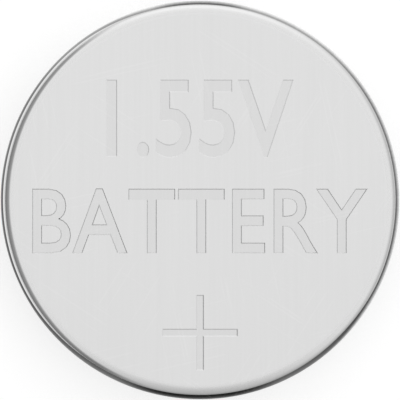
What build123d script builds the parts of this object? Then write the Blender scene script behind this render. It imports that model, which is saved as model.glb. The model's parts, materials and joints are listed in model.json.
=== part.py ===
from build123d import *
from math import cos, radians, sin, tan
import os

# Silver oxide button cell of the 714 size, put together as the real cell is.
# Lengths are in millimetres. The cell lies on its negative terminal: the origin is the centre of
# that flat face, and +Z runs up the axis to the flat positive face of the can.
#
# Every piece is turned about the axis. From the positive face down, the cathode pellet is pressed
# into the floor of the can, the barrier and absorbent discs lie against the pellet, and the cup
# holds the anode gel against the discs. The gasket lines the wall of the can, its foot clamps the
# discs, and the edge of the cup stands in its channel. The mouth of the can is crimped inwards
# over the gasket and the shoulder of the cup, which seals the cell and holds it together.

# --- Overall size --------------------------------------------------------------------------------
CELL_DIAMETER = 7.90
CELL_HEIGHT = 1.45

# --- Cathode can, drawn from nickel-plated steel sheet -------------------------------------------
CAN_SHEET = 0.15
CAN_CORNER_RADIUS = 0.30  # outside, from the positive face to the side wall
RIM_WIDTH = 0.42  # from the side wall in to the edge of the crimped lip
LIP_SLOPE = 20.0  # degrees that the lip falls towards the axis
LIP_RECESS = 0.08  # lowest corner of the lip above the negative terminal, before it is rounded
LIP_EDGE_RADIUS = 0.03  # on the cut edge of the lip

# --- Anode cup, drawn from three-layer clad sheet ------------------------------------------------
CUP_SHEET = 0.13
CUP_SHOULDER_RADIUS = 0.03  # inside, from the skirt to the shoulder under the lip
SHOULDER_WIDTH = 0.30  # from the edge of the lip to the top of the step
STEP_ANGLE = 62.0  # degrees that the wall of the step falls towards the axis
STEP_HOLLOW_RADIUS = 0.10  # outside, where the shoulder turns down into the step
TERMINAL_EDGE_RADIUS = 0.11  # inside, where the step turns into the flat terminal

# --- Gasket, a moulded nylon ring ----------------------------------------------------------------
GASKET_WALL = 0.11
GASKET_FOOT = 0.11  # under the edge of the cup
GASKET_INNER_WALL = 0.10
GASKET_LAND = 0.05  # gasket left showing past the edge of the lip
GASKET_EDGE_RADIUS = 0.02
CHANNEL_DEPTH_SHARE = 0.4  # of the straight part of the skirt that stands in the gasket

# --- Fillings ------------------------------------------------------------------------------------
CATHODE_HEIGHT = 0.25
BARRIER_THICKNESS = 0.06
ABSORBENT_THICKNESS = 0.10
DISC_CLEARANCE = 0.02  # between the pellet or a disc and the wall of the can
GEL_CLEARANCE = 0.02  # between the gel and the inner wall of the gasket

# --- Radii, from the side wall inwards -----------------------------------------------------------
can_radius = CELL_DIAMETER / 2
bore_radius = can_radius - CAN_SHEET
skirt_radius = bore_radius - GASKET_WALL
skirt_bore_radius = skirt_radius - CUP_SHEET
channel_bore_radius = skirt_bore_radius - GASKET_INNER_WALL
mouth_radius = can_radius - RIM_WIDTH
disc_radius = bore_radius - DISC_CLEARANCE
gel_radius = channel_bore_radius - GEL_CLEARANCE

# --- Heights, from the positive face down --------------------------------------------------------
pellet_top = CELL_HEIGHT - CAN_SHEET
barrier_top = pellet_top - CATHODE_HEIGHT
absorbent_top = barrier_top - BARRIER_THICKNESS
foot_top = absorbent_top - ABSORBENT_THICKNESS
skirt_edge = foot_top - GASKET_FOOT

# --- Crimp ---------------------------------------------------------------------------------------
# The lip, the gasket under it and the shoulder of the cup lie in layers on one slope. Depths are
# measured square to that slope, from the outer face of the lip.
slope = radians(LIP_SLOPE)
gasket_depth = CAN_SHEET + GASKET_WALL
cup_mid_depth = gasket_depth + CUP_SHEET / 2


def slope_point(radius, depth):
    """The point at this radius on the layer of the crimp that lies this deep."""
    return (radius, LIP_RECESS + (radius - mouth_radius) * tan(slope) + depth / cos(slope))


def lip_end(depth, past=0.0):
    """The point this deep under the cut edge of the lip, and this far past it to the axis."""
    return (
        mouth_radius - depth * sin(slope) - past * cos(slope),
        LIP_RECESS + depth * cos(slope) - past * sin(slope),
    )


# The bends of the can, the gasket and the cup share one centre, so each keeps its thickness.
cup_bend = CUP_SHOULDER_RADIUS + CUP_SHEET
gasket_bend = cup_bend + GASKET_WALL
can_bend = gasket_bend + CAN_SHEET
bend_top = slope_point(can_radius, 0)[1] + can_bend * tan((radians(90) - slope) / 2)

# --- Cathode can: one drawn sheet, from the positive face round to the crimped lip ---------------
with BuildPart() as cathode_can:
    with BuildSketch(Plane.XZ) as can_section:
        with BuildLine():
            FilletPolyline(
                (0, CELL_HEIGHT - CAN_SHEET / 2),
                (can_radius - CAN_SHEET / 2, CELL_HEIGHT - CAN_SHEET / 2),
                slope_point(can_radius - CAN_SHEET / 2, CAN_SHEET / 2),
                lip_end(CAN_SHEET / 2),
                radius=[CAN_CORNER_RADIUS - CAN_SHEET / 2, can_bend - CAN_SHEET / 2],
            )
        trace(line_width=CAN_SHEET)
        lip_corners = can_section.vertices().sort_by_distance(lip_end(CAN_SHEET / 2))[:2]
        fillet(lip_corners, LIP_EDGE_RADIUS)
    revolve(axis=Axis.Z)

# --- Anode cup: one drawn sheet, from the terminal up the step and round to the skirt ------------
shoulder_end = slope_point(mouth_radius - SHOULDER_WIDTH, cup_mid_depth)
step_foot = (
    shoulder_end[0] - (shoulder_end[1] - CUP_SHEET / 2) / tan(radians(STEP_ANGLE)),
    CUP_SHEET / 2,
)
cup_floor = [(0, CUP_SHEET / 2), step_foot, shoulder_end]
floor_bends = [TERMINAL_EDGE_RADIUS + CUP_SHEET / 2, STEP_HOLLOW_RADIUS + CUP_SHEET / 2]

with BuildPart() as anode_cup:
    with BuildSketch(Plane.XZ):
        with BuildLine():
            FilletPolyline(
                *cup_floor,
                slope_point(skirt_radius - CUP_SHEET / 2, cup_mid_depth),
                (skirt_radius - CUP_SHEET / 2, skirt_edge),
                radius=[*floor_bends, cup_bend - CUP_SHEET / 2],
            )
        trace(line_width=CUP_SHEET)
    revolve(axis=Axis.Z)

# --- Gasket: a channel for the edge of the cup, and a wall that follows the crimp ----------------
channel_depth = CHANNEL_DEPTH_SHARE * (skirt_edge - bend_top)

with BuildPart() as gasket:
    with BuildSketch(Plane.XZ):
        with BuildLine():
            FilletPolyline(
                (channel_bore_radius, foot_top),
                (bore_radius, foot_top),
                slope_point(bore_radius, CAN_SHEET),
                lip_end(CAN_SHEET, GASKET_LAND),
                lip_end(gasket_depth, GASKET_LAND),
                slope_point(skirt_radius, gasket_depth),
                (skirt_radius, skirt_edge),
                (skirt_bore_radius, skirt_edge),
                (skirt_bore_radius, skirt_edge - channel_depth),
                (channel_bore_radius, skirt_edge - channel_depth),
                radius=[
                    0,
                    0,
                    gasket_bend,
                    GASKET_EDGE_RADIUS,
                    GASKET_EDGE_RADIUS,
                    cup_bend,
                    0,
                    0,
                    0,
                    GASKET_EDGE_RADIUS,
                ],
                close=True,
            )
        make_face()
    revolve(axis=Axis.Z)

# --- Cathode pellet: pressed on the floor of the can, its edge rounded to clear the corner -------
with BuildPart() as cathode_pellet:
    with BuildSketch(Plane.XY.offset(barrier_top)):
        Circle(disc_radius)
    extrude(amount=CATHODE_HEIGHT)
    top_edge = cathode_pellet.edges().group_by(Axis.Z)[-1]
    fillet(top_edge, CAN_CORNER_RADIUS - CAN_SHEET + DISC_CLEARANCE)

# --- Barrier and absorbent: discs between the pellet and the foot of the gasket ------------------
with BuildPart() as barrier_separator:
    with BuildSketch(Plane.XY.offset(absorbent_top)):
        Circle(disc_radius)
    extrude(amount=BARRIER_THICKNESS)

with BuildPart() as absorbent_disc:
    with BuildSketch(Plane.XY.offset(foot_top)):
        Circle(disc_radius)
    extrude(amount=ABSORBENT_THICKNESS)

# --- Anode gel: fills the cup inside the gasket, from its floor up to the absorbent disc ---------
with BuildPart() as anode_gel:
    with BuildSketch(Plane.XZ):
        with BuildLine():
            FilletPolyline(
                *cup_floor,
                slope_point(gel_radius, cup_mid_depth),
                (gel_radius, foot_top),
                (0, foot_top),
                radius=[0, *floor_bends, 0, 0, 0],
                close=True,
            )
        make_face()
    revolve(axis=Axis.Z)
    add(anode_cup.part, mode=Mode.SUBTRACT)

pieces = {
    "cathode_can": cathode_can,
    "anode_cup": anode_cup,
    "gasket": gasket,
    "cathode_pellet": cathode_pellet,
    "barrier_separator": barrier_separator,
    "absorbent_disc": absorbent_disc,
    "anode_gel": anode_gel,
}
os.makedirs("parts", exist_ok=True)
for name, piece in pieces.items():
    piece.part.label = name
    export_step(piece.part, f"parts/{name}.step")
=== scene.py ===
# %% [markdown]
# # A button cell, from the blank sheet to the finished picture
#
# This lesson models a small silver oxide cell that lies flat, with its positive face up. The
# engineering model of it already exists and is loaded first as a fixed frame, so every size and
# place agrees with it. The three shells that can be seen, the can, the cup and the gasket between
# them, are then modelled again with fine bends. The marks are pressed into the positive face, and
# each piece gets its own finish.

# %% Load the frame
import json
import math

import bmesh
import bpy
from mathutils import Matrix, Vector


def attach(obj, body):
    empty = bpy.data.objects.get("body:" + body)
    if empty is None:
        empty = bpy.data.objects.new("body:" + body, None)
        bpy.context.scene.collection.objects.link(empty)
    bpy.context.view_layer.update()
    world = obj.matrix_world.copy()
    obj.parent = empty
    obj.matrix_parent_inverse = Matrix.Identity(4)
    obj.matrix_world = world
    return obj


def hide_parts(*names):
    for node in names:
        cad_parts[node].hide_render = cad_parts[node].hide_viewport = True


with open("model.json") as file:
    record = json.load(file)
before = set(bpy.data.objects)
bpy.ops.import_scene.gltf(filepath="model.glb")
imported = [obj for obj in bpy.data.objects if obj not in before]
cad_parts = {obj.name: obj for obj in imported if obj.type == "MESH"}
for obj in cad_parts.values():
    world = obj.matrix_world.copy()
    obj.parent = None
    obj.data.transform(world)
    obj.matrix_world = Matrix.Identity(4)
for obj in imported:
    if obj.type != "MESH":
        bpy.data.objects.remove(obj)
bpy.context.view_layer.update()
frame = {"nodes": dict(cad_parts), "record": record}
print("frame nodes:", sorted(frame["nodes"]))

# %% [markdown]
# ## Sizes
#
# A piece this small is easier to model in millimetres: while it is worked on, one Blender unit is
# a millimetre, and the finished piece is shrunk to metres. There is a second reason. Bevel, merge
# and Boolean have fixed tolerances, and at a few hundred thousandths of a unit they would weld a
# thin sheet to itself. The outside sizes are read from the frame, and the thicknesses are those of
# the sheet and the moulding that a cell is made from.

# %% Sizes in millimetres
MM = 0.001
mounts = {m["name"]: m for m in frame["record"]["mounts"]}
CELL_RADIUS = mounts["can_wall"]["dims"]["r_mm"]
CELL_HEIGHT = mounts["positive_contact"]["pos_m"][2] / MM

CAN_SHEET = 0.15
CAN_CORNER = 0.30
RIM_WIDTH = 0.42
LIP_RECESS = 0.08
CUP_SHEET = 0.13
CUP_BEND = 0.16
GASKET_WALL = 0.11
SLOPE = math.radians(20)

mouth_radius = CELL_RADIUS - RIM_WIDTH
bore_radius = CELL_RADIUS - CAN_SHEET
skirt_radius = bore_radius - GASKET_WALL
gasket_depth = CAN_SHEET + GASKET_WALL
gasket_bend = CUP_BEND + GASKET_WALL
can_bend = gasket_bend + CAN_SHEET


def slope_point(radius, depth):
    """The point at this radius on the layer of the crimp that lies this deep under the lip."""
    return (radius, LIP_RECESS + (radius - mouth_radius) * math.tan(SLOPE) + depth / math.cos(SLOPE))


def lip_end(depth, past=0.0):
    """The point this deep under the lip's cut edge, and this far past it towards the axis."""
    radius = mouth_radius - depth * math.sin(SLOPE) - past * math.cos(SLOPE)
    return (radius, LIP_RECESS + depth * math.cos(SLOPE) - past * math.sin(SLOPE))


print("cell", CELL_RADIUS * 2, "x", CELL_HEIGHT, "mm, mouth of the can", round(mouth_radius * 2, 2))

# %% [markdown]
# ## Rings
#
# Everything here is round, and each shell can be told as a list of rings, each with a radius and a
# height. Spin would turn a drawn section about the axis, but a circle whose edge is extruded from
# ring to ring is closer to the way the metal is worked: a punch pushes a flat blank through a die,
# and the rim of the blank becomes a wall. It also leaves no seam and no pole to close.
#
# By hand a ring of edges is picked with Alt and a click. In code it is found by its place, so the
# first helpers open a piece with nothing selected and pick the edges whose two ends pass a test.

# %% Pick and extrude rings
SIDES = 256


def select_only(piece):
    bpy.ops.object.select_all(action="DESELECT")
    piece.select_set(True)
    bpy.context.view_layer.objects.active = piece


def open_edit(piece, kind="EDGE"):
    """Opens a piece in edit mode with nothing selected."""
    select_only(piece)
    bpy.ops.object.mode_set(mode="EDIT")
    bpy.ops.mesh.select_mode(type=kind)
    bpy.ops.mesh.select_all(action="DESELECT")


def close_edit():
    bpy.ops.object.mode_set(mode="OBJECT")


def pick_ring(piece, *rings, slack=0.003):
    """Selects the edges that run along one of these rings of (radius, height), and counts them."""
    mesh = bmesh.from_edit_mesh(piece.data)

    def runs_along(edge, ring):
        return all(
            abs(v.co.xy.length - ring[0]) < slack and abs(v.co.z - ring[1]) < slack
            for v in edge.verts
        )

    for edge in mesh.edges:
        edge.select_set(any(runs_along(edge, ring) for ring in rings))
    bmesh.update_edit_mesh(piece.data)
    return sum(edge.select for edge in mesh.edges)


def ring_shell(name, rings, filled):
    """Adds a circle at the first ring and extrudes its edge through the rest, left open to edit."""
    (radius, height), *others = rings
    bpy.ops.object.select_all(action="DESELECT")
    bpy.ops.mesh.primitive_circle_add(
        vertices=SIDES, radius=radius, fill_type="NGON" if filled else "NOTHING"
    )
    shell = bpy.context.object
    shell.name = name
    open_edit(shell)
    bpy.ops.mesh.select_all(action="SELECT")
    bpy.ops.transform.translate(value=(0, 0, height))
    for next_radius, next_height in others:
        pick_ring(shell, (radius, height))
        rise = (0, 0, next_height - height)
        bpy.ops.mesh.extrude_edges_move(TRANSFORM_OT_translate={"value": rise})
        spread = next_radius / radius
        bpy.ops.transform.resize(value=(spread, spread, 1), center_override=(0, 0, 0))
        radius, height = next_radius, next_height
    return shell


# %% [markdown]
# ## Bends
#
# Sheet metal never turns a sharp corner. Each ring is bevelled into an arc, and a bevel's offset
# is the length from the sharp corner to where the arc starts: the radius of the bend times the
# tangent of half the turn. The turn is measured between the ring's two neighbours.

# %% Bend the rings
BEND_STEPS = 14
EDGE_STEPS = 8
SMALL_BEND = 0.05


def bend_rings(shell, path, bends):
    """Rounds each inner ring of the path to its bend radius. A bend of 0 stays sharp."""
    for before, ring, after, bend in zip(path, path[1:], path[2:], bends):
        if bend == 0:
            continue
        turn = (Vector(ring) - Vector(before)).angle(Vector(after) - Vector(ring))
        pick_ring(shell, ring)
        bpy.ops.mesh.bevel(
            offset=bend * math.tan(turn / 2),
            segments=BEND_STEPS if bend > SMALL_BEND else EDGE_STEPS,
            profile=0.5,
            affect="EDGES",
        )


# %% [markdown]
# ## A drawn shell
#
# The can and the cup are both drawn from a round blank, so one function makes both. It works on
# the middle of the sheet, and Solidify then gives the metal its thickness, half to each side. Even
# offset keeps that thickness true round the bends. The normals are made to point one way first,
# because Solidify follows them.
#
# The floor gets one narrow ring more, inset from where its bend starts. Smooth shading averages
# the normals at a corner, and without this ring the big flat face would be shaded as if it bulged.

# %% Draw a shell from sheet
FLOOR_STRIP = 0.012


def drawn_shell(name, rings, bends, sheet):
    """Draws a shell of this sheet through rings on its middle, with a bend at all but the last."""
    shell = ring_shell(name, rings, filled=True)
    bend_rings(shell, [(0, rings[0][1]), *rings], bends)
    bpy.ops.mesh.select_mode(type="FACE")
    bpy.ops.mesh.select_all(action="DESELECT")
    mesh = bmesh.from_edit_mesh(shell.data)
    for face in mesh.faces:
        face.select_set(len(face.verts) == SIDES)
    bpy.ops.mesh.inset(thickness=FLOOR_STRIP)
    bpy.ops.mesh.select_all(action="SELECT")
    bpy.ops.mesh.normals_make_consistent(inside=False)
    close_edit()
    for _ in ("outside", "inside"):
        bpy.ops.object.material_slot_add()
    bpy.ops.object.modifier_add(type="SOLIDIFY")
    thickness = shell.modifiers[-1]
    thickness.material_offset = 1
    thickness.thickness = sheet
    thickness.offset = 0.0
    thickness.use_even_offset = True
    bpy.ops.object.modifier_apply(modifier=thickness.name)
    return shell


# %% [markdown]
# Every piece ends the same way. Its bends are shaded smooth, and only an edge that turns more than
# the sharp angle stays crisp. It is shrunk to metres and put on the body it rides on, and the parts
# of the frame that it stands for are hidden.

# %% Finish a piece
SHARP_ANGLE = math.radians(14)


def finish_piece(piece, slot, *nodes):
    """Shades a piece, shrinks it to metres, puts it on its body and hides its CAD nodes; slot is
    unused.
    """
    select_only(piece)
    bpy.ops.object.shade_smooth_by_angle(angle=SHARP_ANGLE)
    bpy.ops.transform.resize(value=(MM, MM, MM), center_override=(0, 0, 0))
    bpy.ops.object.transform_apply(location=True, rotation=True, scale=True)
    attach(piece, "root")
    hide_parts(*nodes)
    triangles = sum(len(p.vertices) - 2 for p in piece.data.polygons)
    print(piece.name, len(piece.data.vertices), "vertices,", triangles, "triangles")


# %% [markdown]
# ## The cathode can
#
# The can is the shell that meets the eye, because its floor is the cell's positive face. From
# there the wall runs down, and its mouth is crimped inwards over the gasket. The edge of the lip
# is where the sheet was cut, and tumbling has worn its two corners round, so they are bevelled
# after the metal has its thickness.

# %% The can
LIP_EDGE = 0.03

wall_middle = CELL_RADIUS - CAN_SHEET / 2
can = drawn_shell(
    "can_shell",
    [
        (wall_middle, CELL_HEIGHT - CAN_SHEET / 2),
        slope_point(wall_middle, CAN_SHEET / 2),
        lip_end(CAN_SHEET / 2),
    ],
    [CAN_CORNER - CAN_SHEET / 2, can_bend - CAN_SHEET / 2],
    CAN_SHEET,
)
open_edit(can)
print("edges round the lip:", pick_ring(can, lip_end(0), lip_end(CAN_SHEET)))
bpy.ops.mesh.bevel(offset=LIP_EDGE, segments=EDGE_STEPS, profile=0.5, affect="EDGES")
close_edit()
print("can", [round(side, 4) for side in can.dimensions], "mm")

# %% [markdown]
# ## Marks in the positive face
#
# A coining punch presses shallow marks with flat floors and sloping walls into the face. They are
# made here as a toolmaker makes them: first the punch, then one stroke. A punch starts as a flat
# outline and is extruded into a bar. The end of the bar is inset and pushed down in one step, and
# because an inset moves every side by the same amount, each wall of the mark gets the same slope.
# The slope runs on a little past the face, so that the punch and the face share no corner.
#
# How deep a mark is, and how wide its wall, decides how it shows. The voltage has low walls and
# reads softly, the word is cut with a steep fine wall all round, and the plus is between the two.
#
# What the marks say is what any such cell may say: its voltage, what it is, and which side is
# positive.

# %% From an outline to a punch
PUNCH_BODY = 0.05
SLOPE_SPARE = 1.3


def slope_punch(punch, y, depth, wall):
    """Turns a flat outline into a punch, and seats it this deep in the face with its middle at y."""
    open_edit(punch, "FACE")
    bpy.ops.mesh.select_all(action="SELECT")
    bpy.ops.mesh.extrude_region_move(TRANSFORM_OT_translate={"value": (0, 0, -PUNCH_BODY)})
    bpy.ops.mesh.inset(thickness=wall * SLOPE_SPARE, depth=-depth * SLOPE_SPARE)
    bpy.ops.mesh.delete(type="FACE")
    bpy.ops.mesh.select_mode(type="EDGE")
    bpy.ops.mesh.select_non_manifold()
    bpy.ops.mesh.fill(use_beauty=False)
    bpy.ops.mesh.select_all(action="SELECT")
    bpy.ops.mesh.normals_make_consistent(inside=False)
    close_edit()
    low, high = Vector(punch.bound_box[0]), Vector(punch.bound_box[6])
    middle = (low + high) / 2
    seat = CELL_HEIGHT - depth - low.z
    bpy.ops.transform.translate(value=(-middle.x, y - middle.y, seat))
    bpy.ops.object.transform_apply(location=True, rotation=True, scale=True)
    print(punch.name, "punch", [round(side, 3) for side in punch.dimensions], "mm")


# %% Punches for the lettering
CAPITAL_SHARE = 0.682  # height of a capital in the built-in font, at size 1
LETTER_STEPS = 4


def letter_punch(name, words, capital, width, gain, spacing=1.0):
    """Makes an outline of these words: this high, this much narrowed, each stroke made bolder."""
    bpy.ops.object.select_all(action="DESELECT")
    bpy.ops.object.text_add()
    text = bpy.context.object
    text.name = name
    text.data.body = words
    text.data.size = capital / CAPITAL_SHARE
    text.data.space_character = spacing
    text.data.offset = gain
    text.data.resolution_u = LETTER_STEPS
    bpy.ops.object.convert(target="MESH")
    punch = bpy.context.object
    open_edit(punch, "FACE")
    bpy.ops.mesh.select_all(action="SELECT")
    bpy.ops.transform.resize(value=(width, 1, 1))
    close_edit()
    return punch


voltage = letter_punch("voltage", "1.55V", capital=1.46, width=0.80, gain=0.035)
slope_punch(voltage, y=1.60, depth=0.008, wall=0.018)
word = letter_punch("word", "BATTERY", capital=1.22, width=0.86, gain=0.03, spacing=1.06)
slope_punch(word, y=-0.41, depth=0.018, wall=0.016)
punches = [voltage, word]

# %% [markdown]
# The outline of the plus starts as a small square, whose four edges are pulled out into arms. Each
# edge is found by its middle, because an arm that is already there ends in line with the next.

# %% A punch for the plus
PLUS_STROKE = 0.165
PLUS_SPAN = 1.50
PLUS_PLACE = -2.612

bpy.ops.object.select_all(action="DESELECT")
bpy.ops.mesh.primitive_plane_add(size=PLUS_STROKE)
plus = bpy.context.object
plus.name = "plus"
open_edit(plus)
for axis, sign in ((0, 1), (0, -1), (1, 1), (1, -1)):
    side = Vector((0, 0, 0))
    side[axis] = sign * PLUS_STROKE / 2
    mesh = bmesh.from_edit_mesh(plus.data)
    for edge in mesh.edges:
        middle = (edge.verts[0].co + edge.verts[1].co) / 2
        edge.select_set((middle - side).length < PLUS_STROKE / 10)
    arm = side.normalized() * (PLUS_SPAN - PLUS_STROKE) / 2
    bpy.ops.mesh.extrude_edges_move(TRANSFORM_OT_translate={"value": arm})
close_edit()
slope_punch(plus, PLUS_PLACE, depth=0.011, wall=0.020)
punches.append(plus)

# %% [markdown]
# One stroke presses all the marks. A Boolean subtracts each punch from the can, and the punch is
# then thrown away. The manifold solver is used: the can and the punches are closed solids, which
# is all it asks for, and it is quick and sure where letters have many short edges.

# %% Press the marks
select_only(can)
for punch in punches:
    before = len(can.data.polygons)
    bpy.ops.object.modifier_add(type="BOOLEAN")
    stroke = can.modifiers[-1]
    stroke.operation = "DIFFERENCE"
    stroke.solver = "MANIFOLD"
    stroke.object = punch
    bpy.ops.object.modifier_apply(modifier=stroke.name)
    print(punch.name, "pressed in,", len(can.data.polygons) - before, "more faces")
for punch in punches:
    select_only(punch)
    bpy.ops.object.delete()
finish_piece(can, "can_nickel", "cathode_can")

# %% [markdown]
# ## The anode cup
#
# The cup is the second shell, drawn the other way up: its floor is the negative terminal that the
# cell lies on. A short steep step lifts the sheet off the terminal, a shoulder slopes up under the
# crimped lip, and a skirt stands in the gasket. It is real clad metal, so it gets the same drawing
# and the same even thickness as the can.

# %% The cup
SHOULDER_WIDTH = 0.30
STEP_ANGLE = math.radians(62)
STEP_HOLLOW = 0.10
TERMINAL_EDGE = 0.11
FOOT_TOP = 0.89
GASKET_FOOT = 0.11

skirt_edge = FOOT_TOP - GASKET_FOOT
cup_depth = gasket_depth + CUP_SHEET / 2
shoulder_end = slope_point(mouth_radius - SHOULDER_WIDTH, cup_depth)
step_run = (shoulder_end[1] - CUP_SHEET / 2) / math.tan(STEP_ANGLE)
skirt_middle = skirt_radius - CUP_SHEET / 2
cup = drawn_shell(
    "cup_shell",
    [
        (shoulder_end[0] - step_run, CUP_SHEET / 2),
        shoulder_end,
        slope_point(skirt_middle, cup_depth),
        (skirt_middle, skirt_edge),
    ],
    [TERMINAL_EDGE + CUP_SHEET / 2, STEP_HOLLOW + CUP_SHEET / 2, CUP_BEND - CUP_SHEET / 2],
    CUP_SHEET,
)
print("cup", [round(side, 4) for side in cup.dimensions], "mm")
finish_piece(cup, "cup_nickel", "anode_cup")

# %% [markdown]
# ## The gasket
#
# The gasket is moulded nylon, so it has a section of its own and not an even thickness. Its rings
# run once round that section, from the foot down the outside, in along the crimp, and back up
# round the channel that the edge of the cup stands in. The last ring is bridged to the first,
# which closes the section.

# %% The gasket
GASKET_INNER_WALL = 0.10
GASKET_LAND = 0.05
GASKET_EDGE = 0.02
CHANNEL_SHARE = 0.4

skirt_bore = skirt_radius - CUP_SHEET
channel_bore = skirt_bore - GASKET_INNER_WALL
bend_top = slope_point(CELL_RADIUS, 0)[1] + can_bend * math.tan((math.pi / 2 - SLOPE) / 2)
channel_end = skirt_edge - CHANNEL_SHARE * (skirt_edge - bend_top)
section = {
    (channel_bore, FOOT_TOP): 0,
    (bore_radius, FOOT_TOP): 0,
    slope_point(bore_radius, CAN_SHEET): gasket_bend,
    lip_end(CAN_SHEET, GASKET_LAND): GASKET_EDGE,
    lip_end(gasket_depth, GASKET_LAND): GASKET_EDGE,
    slope_point(skirt_radius, gasket_depth): CUP_BEND,
    (skirt_radius, skirt_edge): 0,
    (skirt_bore, skirt_edge): 0,
    (skirt_bore, channel_end): 0,
    (channel_bore, channel_end): GASKET_EDGE,
}
corners = list(section)
gasket = ring_shell("gasket_ring", corners, filled=False)
pick_ring(gasket, corners[0], corners[-1])
bpy.ops.mesh.bridge_edge_loops()
bend_rings(gasket, [corners[-1], *corners, corners[0]], section.values())
bpy.ops.mesh.select_all(action="SELECT")
bpy.ops.mesh.normals_make_consistent(inside=False)
close_edit()
print("gasket", [round(side, 4) for side in gasket.dimensions], "mm")
finish_piece(gasket, "gasket_nylon", "gasket")

# %% [markdown]
# ## A small language for materials
#
# Each finish below is a tree of nodes. A few helpers keep the trees short enough to read: one adds
# a node and fills or links its sockets, one lays noise over a piece, and the others turn a value
# into another range, add up values, or blend two tones. The noise reads Object coordinates, which
# stay with the piece, and its Mapping node is of the Texture kind, where the scale is the size of
# one cell. So a finish can be written in millimetres: grain that is 0.05 mm wide and 2 mm long is
# the scale (0.05, 2, 2).

# %% Node helpers


def add(tree, kind, sockets=None, **settings):
    """Adds a node with these settings. A socket is filled with a value or linked to an output."""
    made = tree.nodes.new("ShaderNode" + kind)
    for name, value in settings.items():
        setattr(made, name, value)
    for name, value in (sockets or {}).items():
        if isinstance(value, bpy.types.NodeSocket):
            tree.links.new(value, made.inputs[name])
        else:
            made.inputs[name].default_value = value
    return made


def own_place(tree):
    """Where a point lies on its own piece."""
    return add(tree, "TexCoord").outputs["Object"]


def noise(tree, cell, turn=0.0, detail=2.0):
    """Noise whose cells have these sizes in millimetres, turned this far about the axis."""
    sockets = {
        "Vector": own_place(tree),
        "Rotation": (0, 0, math.radians(turn)),
        "Scale": [size * MM for size in cell],
    }
    cells = add(tree, "Mapping", sockets, vector_type="TEXTURE").outputs["Vector"]
    pattern = {"Vector": cells, "Scale": 1.0, "Detail": detail}
    return add(tree, "TexNoise", pattern).outputs["Fac"]


# %% Sums, ranges and tones


def ranged(tree, value, start, stop, low, high, curve="SMOOTHSTEP"):
    """Turns start to stop into low to high and holds the ends."""
    sockets = {"Value": value, "From Min": start, "From Max": stop, "To Min": low, "To Max": high}
    return add(tree, "MapRange", sockets, interpolation_type=curve).outputs["Result"]


def worked(tree, operation, first, second):
    """The result of one operation on two values."""
    return add(tree, "Math", {0: first, 1: second}, operation=operation).outputs["Value"]


def total(tree, *shares):
    """The sum of these shares, each a value or a pair of a value and its weight."""
    result = None
    for share in shares:
        if isinstance(share, tuple):
            share = worked(tree, "MULTIPLY", *share)
        result = share if result is None else worked(tree, "ADD", result, share)
    return result


def blend_tones(tree, factor, dark, light):
    """A colour between two tones."""
    sockets = {"Factor": factor, "A": (*dark, 1.0), "B": (*light, 1.0)}
    return add(tree, "Mix", sockets, data_type="RGBA").outputs["Result"]


# %% Finish helpers


def new_material(name, metallic=0.0):
    """A new material, its tree and its shader."""
    material = bpy.data.materials.new(name)
    material.use_nodes = True
    shader = material.node_tree.nodes["Principled BSDF"]
    shader.inputs["Metallic"].default_value = metallic
    return material, material.node_tree, shader


def lay_finish(tree, shader, colour, roughness, relief, depth):
    """Links a finish to its shader. Relief from 0 to 1 stands for this depth in millimetres."""
    tree.links.new(colour, shader.inputs["Base Color"])
    tree.links.new(roughness, shader.inputs["Roughness"])
    bump = add(tree, "Bump", {"Height": relief, "Strength": 1.0, "Distance": depth * MM})
    tree.links.new(bump.outputs["Normal"], shader.inputs["Normal"])


def dress(piece, outside, inside=None):
    """Puts a finish on a piece, and another on the inside of a drawn shell."""
    slots = piece.data.materials
    if not slots:
        slots.append(outside)
    for index in range(len(slots)):
        slots[index] = inside if inside and index else outside
    print(piece.name, "wears", outside.name, "with", len(outside.node_tree.nodes), "nodes")


# %% [markdown]
# ## Nickel plate
#
# Bright nickel over rolled steel is the finish of the can. Close up it is never quite even. The
# sheet keeps a faint straight grain from the rolls, handling leaves hair scratches in all
# directions, and smudges change its gloss. The corner is burnished smoother than the face where it
# slid through the die. Just below it a dull, dark line is painted into the colour as a painted
# reflection of dim surroundings, and the wall under the line is painted darker than the face. The
# wall carries fine upright draw marks. All of these are told apart by place: the height, the
# distance from the axis, and the bearing.

# %% Where on the shell


def height(tree):
    """How high a point lies."""
    return add(tree, "SeparateXYZ", {"Vector": own_place(tree)}).outputs["Z"]


def flattened(tree, place):
    """A place or a direction with its height taken away."""
    return add(tree, "VectorMath", {0: place, 1: (1, 1, 0)}, operation="MULTIPLY").outputs[0]


def axis_distance(tree):
    """How far a point lies from the axis."""
    flat = flattened(tree, own_place(tree))
    return add(tree, "VectorMath", {0: flat}, operation="LENGTH").outputs["Value"]


def heading(tree, place):
    """The level part of a place or a direction, made one unit long."""
    return add(tree, "VectorMath", {0: flattened(tree, place)}, operation="NORMALIZE").outputs[0]


def agreement(tree, level, bearing):
    """1 where a level direction points to this bearing in degrees, -1 where it points away."""
    angle = math.radians(bearing)
    both = {0: level, 1: (math.cos(angle), math.sin(angle), 0.0)}
    return add(tree, "VectorMath", both, operation="DOT_PRODUCT").outputs["Value"]


# %% Draw marks and scratches
SCRATCH = (0.05, 7.0, 7.0)
SCRATCH_CREST = (0.66, 0.72)
HANDLED = (0.8, 1.6, 1.6)
HANDLED_CREST = (0.52, 0.64)


def along_the_draw(tree, streak, run):
    """Streaks this wide that follow the metal's way through the die, down the wall and in."""
    round_it = {0: heading(tree, own_place(tree)), "Scale": CELL_RADIUS / streak}
    across = add(tree, "VectorMath", round_it, operation="SCALE").outputs[0]
    way = worked(tree, "SUBTRACT", height(tree), axis_distance(tree))
    down = add(tree, "CombineXYZ", {"Z": worked(tree, "DIVIDE", way, run * MM)}).outputs[0]
    both = add(tree, "VectorMath", {0: across, 1: down}, operation="ADD").outputs[0]
    return add(tree, "TexNoise", {"Vector": both, "Scale": 1.0, "Detail": 3.0}).outputs["Fac"]


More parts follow.
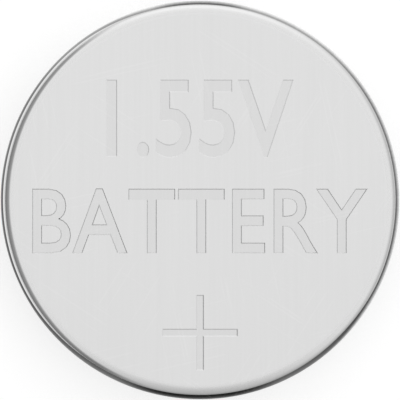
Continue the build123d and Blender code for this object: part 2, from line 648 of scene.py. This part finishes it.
def hair_scratches(tree, turns):
    """Sparse straight lines in these directions, 1 in a scratch and 0 beside it."""
    found = None
    for turn in turns:
        line = ranged(tree, noise(tree, SCRATCH, turn, detail=0.0), *SCRATCH_CREST, 0.0, 1.0)
        patch = ranged(tree, noise(tree, HANDLED, turn), *HANDLED_CREST, 0.0, 1.0)
        line = worked(tree, "MULTIPLY", line, patch)
        found = line if found is None else worked(tree, "MAXIMUM", found, line)
    return found


# %% Nickel on the can
FACE_EDGE = (3.62 * MM, 3.80 * MM)
MARK_LEVELS = [(CELL_HEIGHT - depth) * MM for depth in (0.001, 0.006)]

can_nickel, tree, shader = new_material("can_nickel", metallic=1.0)
off_face = ranged(tree, axis_distance(tree), *FACE_EDGE, 0.0, 1.0)
on_face = worked(tree, "SUBTRACT", 1.0, off_face)
# The floors of the marks are painted a little darker: painted shade in the recesses.
mark_floor_shade = worked(tree, "MULTIPLY", ranged(tree, height(tree), *MARK_LEVELS, 0.0, 1.0), on_face)
rolled = noise(tree, (0.05, 2.6, 2.6), detail=2.0)
drawn = along_the_draw(tree, streak=0.035, run=1.5)
smudge = noise(tree, (2.2, 2.2, 2.2), detail=3.0)
scratches = hair_scratches(tree, (12, 57, 103, 148))
grain = add(tree, "Mix", {"Factor": off_face, "A": rolled, "B": drawn}).outputs["Result"]
print("the nickel of the can has", len(tree.nodes), "nodes before its tones")

# %% [markdown]
# The painted line is not the same all round, because the dark reflections it stands in for differ
# from side to side. On one side it runs a little higher and ends sooner, and the wall below it is
# painted lighter there. In front the line is broad and black in its middle. At the back it has a
# short dark stretch, and the line is faint on either side of that stretch. Each side is told by its
# bearing: the dot product of two directions is 1 where they agree, and falls to -1 on the far side.

# %% The painted dark line
# Where the painted dark line, a painted reflection on the wall under the corner, begins and ends.
PAINTED_BAND_TOP = (1.338 * MM, 1.322 * MM)
PAINTED_BAND_FOOT = (1.27 * MM, 1.14 * MM)
HIGH_BY = 0.035 * MM
BROAD_BY = 0.050 * MM
SHORT_BY = 0.105 * MM


def one_side(tree, bearing, begin, full):
    """Rises to 1 round this bearing, as the dot product goes from begin to full."""
    near = agreement(tree, heading(tree, own_place(tree)), bearing)
    return ranged(tree, near, begin, full, 0.0, 1.0)


# Bearing masks that shape the painted dark line and the painted lighter side of the wall.
front = one_side(tree, -90, begin=-0.50, full=0.45)
front_broad = one_side(tree, -90, begin=0.40, full=0.90)
front_end = one_side(tree, -90, begin=0.90, full=0.99)
back_end = one_side(tree, 90, begin=0.965, full=0.997)
band_shift_side = one_side(tree, 35, begin=-0.15, full=0.45)
faint_band_sides = one_side(tree, 90, begin=0.50, full=0.85)
begun = total(tree, height(tree), (front_broad, -BROAD_BY), (band_shift_side, -HIGH_BY))
ended = total(tree, height(tree), (band_shift_side, -SHORT_BY))
on_wall = ranged(tree, begun, *PAINTED_BAND_TOP, 0.0, 1.0)
below_painted_band = ranged(tree, ended, *PAINTED_BAND_FOOT, 0.0, 1.0)
print("with the painted line on the wall,", len(tree.nodes), "nodes")

# %% [markdown]
# The tone of the metal is worked out as one number, from 0, as dark as the line at its darkest, to
# 1, the brightest nickel. Each share of it belongs to a place or a pattern. The painted line and
# the darker wall are painted reflection, not the nickel's own colour.

# %% Tone of the can
FACE_TONE = 0.93
# Painted reflection: the wall is painted darker than the face, and the line darker still.
PAINTED_BAND_TONE = 0.16
WALL_TONE = 0.47

painted_line_shades = total(
    tree,
    PAINTED_BAND_TONE,
    (front, -0.11),
    (front_broad, 0.10),
    (front_end, -0.15),
    (back_end, -0.32),
    (faint_band_sides, 0.22),
)
bright = worked(tree, "SUBTRACT", 1.0, on_wall)
tone = total(
    tree,
    (bright, FACE_TONE),
    (on_wall, painted_line_shades),
    (below_painted_band, total(tree, WALL_TONE, (band_shift_side, 0.15))),
    (worked(tree, "SUBTRACT", grain, 0.5), total(tree, 0.04, (below_painted_band, 0.29))),
    (scratches, 0.02),
    (mark_floor_shade, -0.04),
)
colour = blend_tones(tree, tone, (0.004, 0.004, 0.004), (0.82, 0.82, 0.82))
print("with its tones,", len(tree.nodes), "nodes")

# %% [markdown]
# The gloss is worked out the same way. It is a roughness, so a lower number is smoother: satin on
# the face, burnished on the corner, and satin again down the wall.

# %% Gloss of the can
FACE_ROUGHNESS = 0.30
CORNER_ROUGHNESS = 0.12
WALL_ROUGHER = 0.18

gloss = total(
    tree,
    ranged(tree, off_face, 0.0, 1.0, FACE_ROUGHNESS, CORNER_ROUGHNESS),
    (on_wall, WALL_ROUGHER),
    ranged(tree, smudge, 0.3, 0.7, -0.015, 0.02),
    (scratches, 0.02),
)
lay_finish(tree, shader, colour, gloss, grain, depth=0.0001)
print("and with its gloss,", len(tree.nodes), "nodes")

# %% [markdown]
# Solidify gave the inside of each drawn shell a material slot of its own, so the two faces of the
# sheet can differ. Inside the can there is no corner to burnish and no die line, only the plain
# satin nickel that the plating tank leaves, a little clouded by the pellet pressed against it.

# %% Nickel inside the can
can_bore, tree, shader = new_material("can_bore", metallic=1.0)
grain = noise(tree, (0.05, 1.8, 1.8), detail=3.0)
cloud = noise(tree, (0.9, 0.9, 0.5), detail=4.0)
tone = total(tree, (grain, 0.55), (cloud, 0.45))
gloss = total(tree, 0.30, (cloud, 0.14))
colour = blend_tones(tree, tone, (0.44, 0.435, 0.42), (0.76, 0.755, 0.74))
lay_finish(tree, shader, colour, gloss, grain, depth=0.0003)
dress(can, can_nickel, inside=can_bore)

# %% [markdown]
# ## Clad metal
#
# The cup is drawn from clad sheet: nickel outside, for a clean contact, steel in the middle and
# copper inside, because zinc stays quiet against copper.
#
# The nickel of the cup is a little warmer and smoother than that of the can. The rolled grain of
# its flat terminal lies another way, handling has scratched it more, because the cell lies on it,
# and its step is polished by the punch. The copper is stained where the zinc paste lies against it.

# %% Nickel on the cup
TERMINAL_ROUND = (2.88 * MM, 3.02 * MM)

cup_nickel, tree, shader = new_material("cup_nickel", metallic=1.0)
off_flat = ranged(tree, axis_distance(tree), *TERMINAL_ROUND, 0.0, 1.0)
rolled = noise(tree, (0.05, 2.2, 2.2), turn=38, detail=3.0)
swept = along_the_draw(tree, streak=0.05, run=1.0)
grain = add(tree, "Mix", {"Factor": off_flat, "A": rolled, "B": swept}).outputs["Result"]
cloud = noise(tree, (1.7, 1.7, 1.7), detail=3.0)
scratches = hair_scratches(tree, (3, 71, 96, 160))
tone = total(tree, (grain, 0.50), (cloud, 0.40), (scratches, 0.25), (off_flat, 0.20))
gloss = total(tree, 0.28, (cloud, 0.05), (off_flat, -0.12), (scratches, 0.05))
colour = blend_tones(tree, tone, (0.60, 0.585, 0.55), (0.82, 0.81, 0.785))
lay_finish(tree, shader, colour, gloss, grain, depth=0.00015)

# %% Copper inside the cup
cup_copper, tree, shader = new_material("cup_copper", metallic=1.0)
grain = noise(tree, (0.06, 1.8, 1.8), turn=38, detail=2.0)
stain = ranged(tree, noise(tree, (0.45, 0.45, 0.3), detail=5.0), 0.44, 0.70, 0.0, 1.0)
tone = total(tree, 0.62, (grain, 0.45), (stain, -0.50))
gloss = total(tree, 0.29, (stain, 0.18), (grain, 0.05))
colour = blend_tones(tree, tone, (0.36, 0.22, 0.165), (0.83, 0.49, 0.35))
lay_finish(tree, shader, colour, gloss, grain, depth=0.0002)
dress(cup, cup_nickel, inside=cup_copper)

# %% [markdown]
# ## Nylon
#
# The gasket is natural nylon, milky and slightly yellow. Light goes a little way into it before it
# comes back, which is what Subsurface is for, and its radius is set to the tenths of a millimetre
# that this happens over. The mould leaves a fine texture. A film of sealant was painted on before
# the crimp, and a brown line of it shows where the lip of the can ends.

# %% Nylon
SEALANT = ((mouth_radius + 0.005) * MM, (mouth_radius - 0.012) * MM)

gasket_nylon, tree, shader = new_material("gasket_nylon")
out = axis_distance(tree)
low = ranged(tree, height(tree), 0.30 * MM, 0.22 * MM, 0.0, 1.0)
wet = worked(tree, "MULTIPLY", ranged(tree, out, *SEALANT, 1.0, 0.0), low)
texture = noise(tree, (0.03, 0.03, 0.03), detail=3.0)
flow = noise(tree, (0.6, 0.6, 0.12), detail=2.0)
milk = blend_tones(tree, flow, (0.66, 0.65, 0.59), (0.80, 0.79, 0.745))
stained = {"Factor": worked(tree, "MULTIPLY", wet, 0.7), "A": milk, "B": (0.16, 0.09, 0.04, 1.0)}
colour = add(tree, "Mix", stained, data_type="RGBA").outputs["Result"]
gloss = total(tree, 0.36, (texture, 0.14), (wet, -0.16))
lay_finish(tree, shader, colour, gloss, texture, depth=0.0008)
shader.inputs["Subsurface Weight"].default_value = 0.25
shader.inputs["Subsurface Radius"].default_value = (1.0, 0.9, 0.7)
shader.inputs["Subsurface Scale"].default_value = 0.15 * MM
shader.inputs["IOR"].default_value = 1.53
dress(gasket, gasket_nylon)

# %% [markdown]
# ## The fillings
#
# Nobody sees these until the cell is taken apart, and then each should be told at a glance. Their
# shapes are right in the frame, so they keep their own meshes and only get their finishes.
#
# The pellet is pressed silver oxide and graphite: nearly black, with bright flecks. A fleck is
# the crest of a fine noise, cut off where it is high enough.

# %% Silver oxide and graphite
nodes = frame["nodes"]
silver_oxide, tree, shader = new_material("silver_oxide")
powder = noise(tree, (0.035, 0.035, 0.035), detail=4.0)
patch = noise(tree, (0.9, 0.9, 0.9), detail=3.0)
fleck = ranged(tree, noise(tree, (0.05, 0.05, 0.05), detail=1.0), 0.66, 0.72, 0.0, 1.0)
dust = total(tree, (powder, 0.6), (patch, 0.4))
black = blend_tones(tree, dust, (0.014, 0.013, 0.012), (0.062, 0.058, 0.055))
flecked = {"Factor": fleck, "A": black, "B": (0.34, 0.34, 0.33, 1.0)}
colour = add(tree, "Mix", flecked, data_type="RGBA").outputs["Result"]
gloss = total(tree, 0.46, (powder, 0.30), (fleck, -0.20))
lay_finish(tree, shader, colour, gloss, powder, depth=0.004)
tree.links.new(worked(tree, "MULTIPLY", fleck, 0.8), shader.inputs["Metallic"])
dress(nodes["cathode_pellet"], silver_oxide)

# %% [markdown]
# The barrier is a clear film that has drunk electrolyte and turned the colour of weak tea. It is
# smooth, with long soft wrinkles and fine streaks from the roll it was cut from.

# %% Barrier film
barrier_film, tree, shader = new_material("barrier_film")
streak = noise(tree, (0.12, 4.0, 4.0), turn=20, detail=2.0)
wrinkle = noise(tree, (1.6, 0.5, 1.0), turn=65, detail=1.0)
tea = noise(tree, (2.4, 2.4, 2.4), detail=3.0)
tone = total(tree, (tea, 0.7), (streak, 0.3))
colour = blend_tones(tree, tone, (0.62, 0.56, 0.38), (0.76, 0.73, 0.60))
gloss = total(tree, 0.16, (streak, 0.10), (tea, 0.12))
lay_finish(tree, shader, colour, gloss, total(tree, (wrinkle, 0.9), (streak, 0.1)), depth=0.012)
shader.inputs["Subsurface Weight"].default_value = 0.15
shader.inputs["Subsurface Scale"].default_value = 0.05 * MM
dress(nodes["barrier_separator"], barrier_film)

# %% [markdown]
# The absorbent disc is felt. Fibres are noise stretched into threads, laid in several directions,
# and the highest thread at each point is the one that shows.

# %% Felt
absorbent_felt, tree, shader = new_material("absorbent_felt")
fibres = None
for turn in (8, 49, 87, 131, 168):
    layer = noise(tree, (0.022, 0.45, 0.05), turn, detail=1.0)
    fibres = layer if fibres is None else worked(tree, "MAXIMUM", fibres, layer)
thread = ranged(tree, fibres, 0.52, 0.76, 0.0, 1.0)
damp = noise(tree, (1.3, 1.3, 1.3), detail=3.0)
tone = total(tree, (thread, 0.75), (damp, 0.25))
colour = blend_tones(tree, tone, (0.50, 0.49, 0.44), (0.90, 0.89, 0.85))
lay_finish(tree, shader, colour, total(tree, 0.98, (damp, -0.15)), thread, depth=0.010)
dress(nodes["absorbent_disc"], absorbent_felt)

# %% [markdown]
# The gel is zinc powder in clear jelly, so it is grey with bright grains under a wet skin. The
# grains are the cells of a Voronoi texture, each with its own shade, and Coat is the skin.

# %% Zinc gel
GRAIN = 0.07

zinc_gel, tree, shader = new_material("zinc_gel")
fine = {"Vector": own_place(tree), "Scale": 1 / (GRAIN * MM)}
grains = add(tree, "TexVoronoi", fine)
shade = add(tree, "SeparateColor", {"Color": grains.outputs["Color"]}).outputs["Red"]
solid = ranged(tree, grains.outputs["Distance"], 0.30, 0.55, 1.0, 0.0)
bright = worked(tree, "MULTIPLY", ranged(tree, shade, 0.35, 0.95, 0.0, 1.0), solid)
lump = noise(tree, (0.5, 0.5, 0.5), detail=3.0)
tone = total(tree, (bright, 0.75), (lump, 0.30))
colour = blend_tones(tree, tone, (0.11, 0.115, 0.125), (0.46, 0.47, 0.48))
gloss = total(tree, 0.55, (bright, -0.20), (lump, 0.10))
lay_finish(tree, shader, colour, gloss, total(tree, (solid, 0.4), (lump, 0.6)), depth=0.008)
tree.links.new(worked(tree, "MULTIPLY", bright, 0.7), shader.inputs["Metallic"])
shader.inputs["Coat Weight"].default_value = 0.4
shader.inputs["Coat Roughness"].default_value = 0.12
dress(nodes["anode_gel"], zinc_gel)

# %% [markdown]
# ## The floor
#
# The cell lies on pale paper, and a pool of light is painted round it. The paper's own colour shows
# in the light of the studio, and Emission lifts it to white round the cell, only for rays from the
# camera, from mirror-like metal and through glass, so that it throws no light on the cell and keeps
# the cell's soft shadow. The painted pool fades with distance from a point to the left and back, as
# light from one side would. The bright corner of the can is a mirror of this floor, and a floor that
# fades gives it an edge.

# %% The floor
FLOOR_SIZE = 0.6
FLOOR_GAP = 0.005 * MM
PAPER = 0.55
PAPER_LIFT = 0.58
# Centre and reach of the painted pool of light.
PAINTED_POOL_CENTRE = (-3.5 * MM, 2.5 * MM, 0.0)
PAINTED_POOL_REACH = (9.5 * MM, 60.0 * MM)

bpy.ops.object.select_all(action="DESELECT")
bpy.ops.mesh.primitive_plane_add(size=FLOOR_SIZE, location=(0, 0, -FLOOR_GAP))
floor = bpy.context.object
floor.name = "floor"
bpy.ops.object.transform_apply(location=True)
pale_paper, tree, shader = new_material("pale_paper")
# The pool is painted light: Emission that fades with distance from the pool's centre, not a lamp.
apart = {0: own_place(tree), 1: PAINTED_POOL_CENTRE}
apart = add(tree, "VectorMath", apart, operation="DISTANCE").outputs["Value"]
painted_pool = ranged(tree, apart, *PAINTED_POOL_REACH, PAPER_LIFT, 0.0, curve="LINEAR")
path = add(tree, "LightPath")
seen = worked(tree, "MAXIMUM", path.outputs["Is Camera Ray"], path.outputs["Is Glossy Ray"])
seen = worked(tree, "MAXIMUM", seen, path.outputs["Is Transmission Ray"])
tree.links.new(worked(tree, "MULTIPLY", seen, painted_pool), shader.inputs["Emission Strength"])
shader.inputs["Emission Color"].default_value = (1.0, 1.0, 1.0, 1.0)
shader.inputs["Base Color"].default_value = (PAPER, PAPER, PAPER, 1.0)
shader.inputs["Roughness"].default_value = 0.9
shader.inputs["Specular IOR Level"].default_value = 0.0
dress(floor, pale_paper)

# %% [markdown]
# ## The camera
#
# The cell is looked at straight from above, and it fills the frame. A long lens from far away
# keeps the wall out of sight behind the corner, so the outline is the widest ring of the can, and
# the distance follows from that ring's radius and the angle of view.

# %% The camera
LENS = 200
SENSOR = 36
MARGIN = 1.0038

bpy.ops.object.select_all(action="DESELECT")
half_view = math.atan(SENSOR / 2 / LENS)
widest = CELL_HEIGHT - CAN_CORNER
stand_off = CELL_RADIUS * MARGIN / math.tan(half_view)
bpy.ops.object.camera_add(location=(0, 0, (widest + stand_off) * MM))
camera = bpy.context.object
camera.data.lens = LENS
camera.data.sensor_width = SENSOR
camera.data.clip_start = MM
camera.data.clip_end = 10.0
bpy.context.scene.camera = camera
bpy.context.scene.view_settings.view_transform = "Standard"
print("camera", round(stand_off, 2), "mm above the widest ring")

# %% [markdown]
# ## The studio
#
# Bright metal has hardly any look of its own: it shows what stands round it. So the studio is
# built for its reflections. It is a white light tent, which the flat face sees straight above it.
# Behind the cell a brighter strip of light draws a white line along the back of the corner, the
# front of the tent is dimmer, and a dark panel on the left gives the corner its grey side.
#
# The world shader makes all four from the direction that a ray leaves in. A ramp of tones over
# the height above the horizon is one side of the tent, and the bearing tells which side is met.
# Just above the floor every side is pale, as the foot of a tent is, where the light of the floor
# falls on it.

# %% Ramps for the sides of the tent
PEAK = 1.3


def glow(tree, value, stops):
    """A ramp of grey levels over the sine of the height above the horizon, as shares of PEAK."""
    ramp = add(tree, "ValToRGB", {"Fac": value})
    elements = ramp.color_ramp.elements
    while len(elements) < len(stops):
        elements.new(0.5)
    for element, (place, tone) in zip(elements, stops.items()):
        element.position = place
        element.color = (tone / PEAK, tone / PEAK, tone / PEAK, 1.0)
    return ramp.outputs["Color"]


world = bpy.data.worlds.new("studio")
bpy.context.scene.world = world
world.use_nodes = True
tree = world.node_tree
direction = add(tree, "TexCoord").outputs["Generated"]
rise = add(tree, "SeparateXYZ", {"Vector": direction}).outputs["Z"]
tent = glow(tree, rise, {0.07: 0.80, 0.13: 0.52, 0.33: 0.71, 0.48: 0.87, 0.61: 0.97, 1.0: 0.98})
strip = glow(tree, rise, {0.07: 0.90, 0.16: 1.13, 0.33: 1.2, 0.48: 1.15, 0.61: 1.05, 0.8: 1.0})
dim = glow(tree, rise, {0.07: 0.75, 0.13: 0.36, 0.33: 0.55, 0.61: 0.62, 0.81: 0.72, 0.97: 0.9})
print("ramps for three sides of the tent,", len(tree.nodes), "nodes")

# %% [markdown]
# The back of a direction is its Y, which is 1 for a ray that leaves straight to the back. Raised to
# a power, it falls off sooner, so the strip and the dim front are each no wider than they should
# be.

# %% Which side a ray meets
STRIP_FALL = 2.0
DIM_FALL = 4.0

level = heading(tree, direction)
to_back = add(tree, "SeparateXYZ", {"Vector": level}).outputs["Y"]
to_front = worked(tree, "MULTIPLY", to_back, -1.0)
to_strip = worked(tree, "POWER", worked(tree, "MAXIMUM", to_back, 0.0), STRIP_FALL)
to_dim = worked(tree, "POWER", worked(tree, "MAXIMUM", to_front, 0.0), DIM_FALL)
behind = {"Factor": to_strip, "A": tent, "B": strip}
walls = add(tree, "Mix", behind, data_type="RGBA").outputs["Result"]
before = {"Factor": to_dim, "A": walls, "B": dim}
walls = add(tree, "Mix", before, data_type="RGBA").outputs["Result"]
print("with the sides joined,", len(tree.nodes), "nodes")

# %% [markdown]
# The dark panel covers part of one side. Its factor is 1 for a ray that passes beside it, over it
# or under it, and its top edge is lower away from its middle.

# %% The dark panel
PANEL_BEARING = 185
PANEL_TONE = 0.39
PANEL_TOP = (0.57, 0.80)
PANEL_SIDE = (0.30, 0.62)
PANEL_FOOT = (0.07, 0.13)
TOP_SLANT = 0.4

facing = agreement(tree, level, PANEL_BEARING)
aside = worked(tree, "SUBTRACT", 1.0, facing)
over = ranged(tree, total(tree, rise, (aside, TOP_SLANT)), *PANEL_TOP, PANEL_TONE, 1.0)
across = ranged(tree, facing, *PANEL_SIDE, 0.0, 1.0)
within = worked(tree, "MULTIPLY", across, ranged(tree, rise, *PANEL_FOOT, 0.0, 1.0))
panel = add(tree, "Mix", {"Factor": within, "A": 1.0, "B": over}).outputs["Result"]
background = tree.nodes["Background"]
tree.links.new(walls, background.inputs["Color"])
tree.links.new(worked(tree, "MULTIPLY", panel, PEAK), background.inputs["Strength"])
print("the studio has", len(tree.nodes), "nodes")
